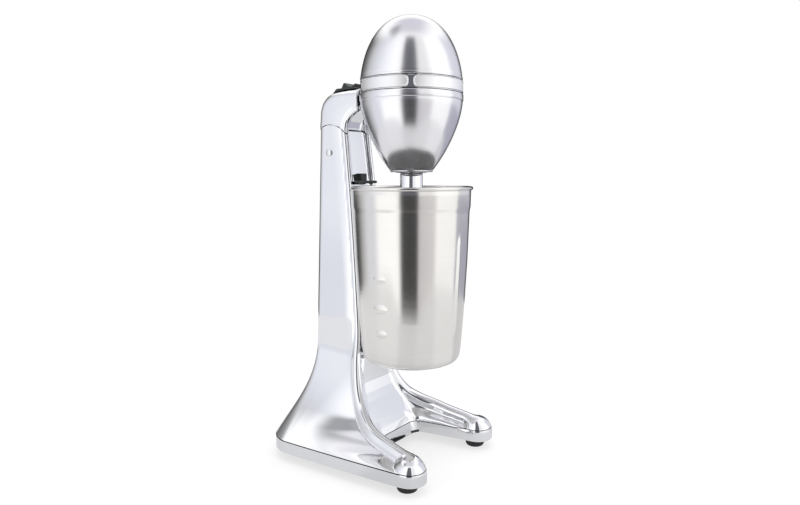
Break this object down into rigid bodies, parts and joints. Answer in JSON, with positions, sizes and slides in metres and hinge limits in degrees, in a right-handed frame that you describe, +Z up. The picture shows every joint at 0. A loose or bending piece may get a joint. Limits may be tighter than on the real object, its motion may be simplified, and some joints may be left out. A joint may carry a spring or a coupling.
{
  "type": "milkshake mixer",
  "caption": "Retro drink mixer: a hinged motor head on a chromed column turns a spindle in a hanging steel cup.",
  "frame": {"origin": "centre of the bounding box on the floor that the feet stand on", "axes": "+Z up, front of the mixer (cup and legs) towards -Y, +X to the right seen from the front"},
  "size_m": [0.1518, 0.1629, 0.368],
  "materials": {
    "chrome": "polished chrome plate",
    "satin_chrome": "softly brushed chrome plate",
    "brushed_steel": "brushed stainless steel",
    "black_plastic": "moulded black plastic",
    "black_rubber": "soft black rubber",
    "screw_steel": "plain steel",
    "core_steel": "dull laminated steel",
    "copper_winding": "varnished copper wire",
    "bronze": "sintered bronze",
    "nylon": "natural nylon",
    "carbon": "pressed carbon"
  },
  "bodies": {
    "stand": {"stand_casing": "chrome", "base_plate": "black_plastic", "foot_front_left": "black_rubber", "foot_front_right": "black_rubber", "foot_rear_left": "black_rubber", "foot_rear_right": "black_rubber", "base_screw_front_left": "screw_steel", "base_screw_front_right": "screw_steel", "base_screw_rear_left": "screw_steel", "base_screw_rear_right": "screw_steel", "cup_guide": "black_plastic", "guide_screw": "screw_steel", "cup_rest": "chrome", "rest_screw": "screw_steel", "hinge_pin": "chrome", "pin_retainer": "screw_steel", "cord_gland": "black_rubber", "terminal_block": "nylon"},
    "head": {"arm_casing": "chrome", "hinge_bush_left": "nylon", "hinge_bush_right": "nylon", "switch_bezel": "black_plastic", "switch_body": "black_plastic", "neck_block": "black_plastic", "neck_screw_left": "screw_steel", "neck_screw_right": "screw_steel", "housing_cap": "satin_chrome", "housing_lower": "satin_chrome", "trim_band": "chrome", "badge_plate_front": "satin_chrome", "badge_plate_left": "satin_chrome", "badge_plate_right": "satin_chrome", "nose_ring": "chrome", "stator_core": "core_steel", "field_coil_left": "copper_winding", "field_coil_right": "copper_winding", "stator_screw_front": "screw_steel", "stator_screw_rear": "screw_steel", "upper_bracket": "core_steel", "upper_bush": "bronze", "lower_bush": "bronze", "brush_holder_left": "nylon", "brush_holder_right": "nylon", "carbon_brush_left": "carbon", "carbon_brush_right": "carbon"},
    "rotor": {"motor_shaft": "screw_steel", "armature_core": "core_steel", "end_winding_lower": "copper_winding", "end_winding_upper": "copper_winding", "commutator": "bronze", "cooling_fan": "nylon", "spindle_collar": "chrome", "spindle_rod": "chrome", "agitator": "chrome", "agitator_nut": "screw_steel"},
    "rocker": {"speed_rocker": "black_plastic"},
    "cup": {"mixing_cup": "brushed_steel"}
  },
  "joints": [
    {"name": "head_tilt", "type": "hinge", "parent": "stand", "child": "head", "pos_m": [0, 0.04495, 0.261], "axis": [-1, 0, 0], "range_deg": [0, 35]},
    {"name": "spindle_spin", "type": "hinge", "parent": "head", "child": "rotor", "pos_m": [0, -0.03055, 0.261], "axis": [0, 0, 1], "continuous": true},
    {"name": "rocker_tilt", "type": "hinge", "parent": "head", "child": "rocker", "pos_m": [0, 0.03145, 0.3095], "axis": [1, 0, 0], "range_deg": [-7, 7]},
    {"name": "cup_swing", "type": "hinge", "parent": "stand", "child": "cup", "pos_m": [0, 0.01885, 0.2312], "axis": [-1, 0, 0], "range_deg": [0, 38.5]}
  ],
  "couplings": [
    {"joint": "cup_swing", "follows": "head_tilt", "ratio": 1.1}
  ]
}
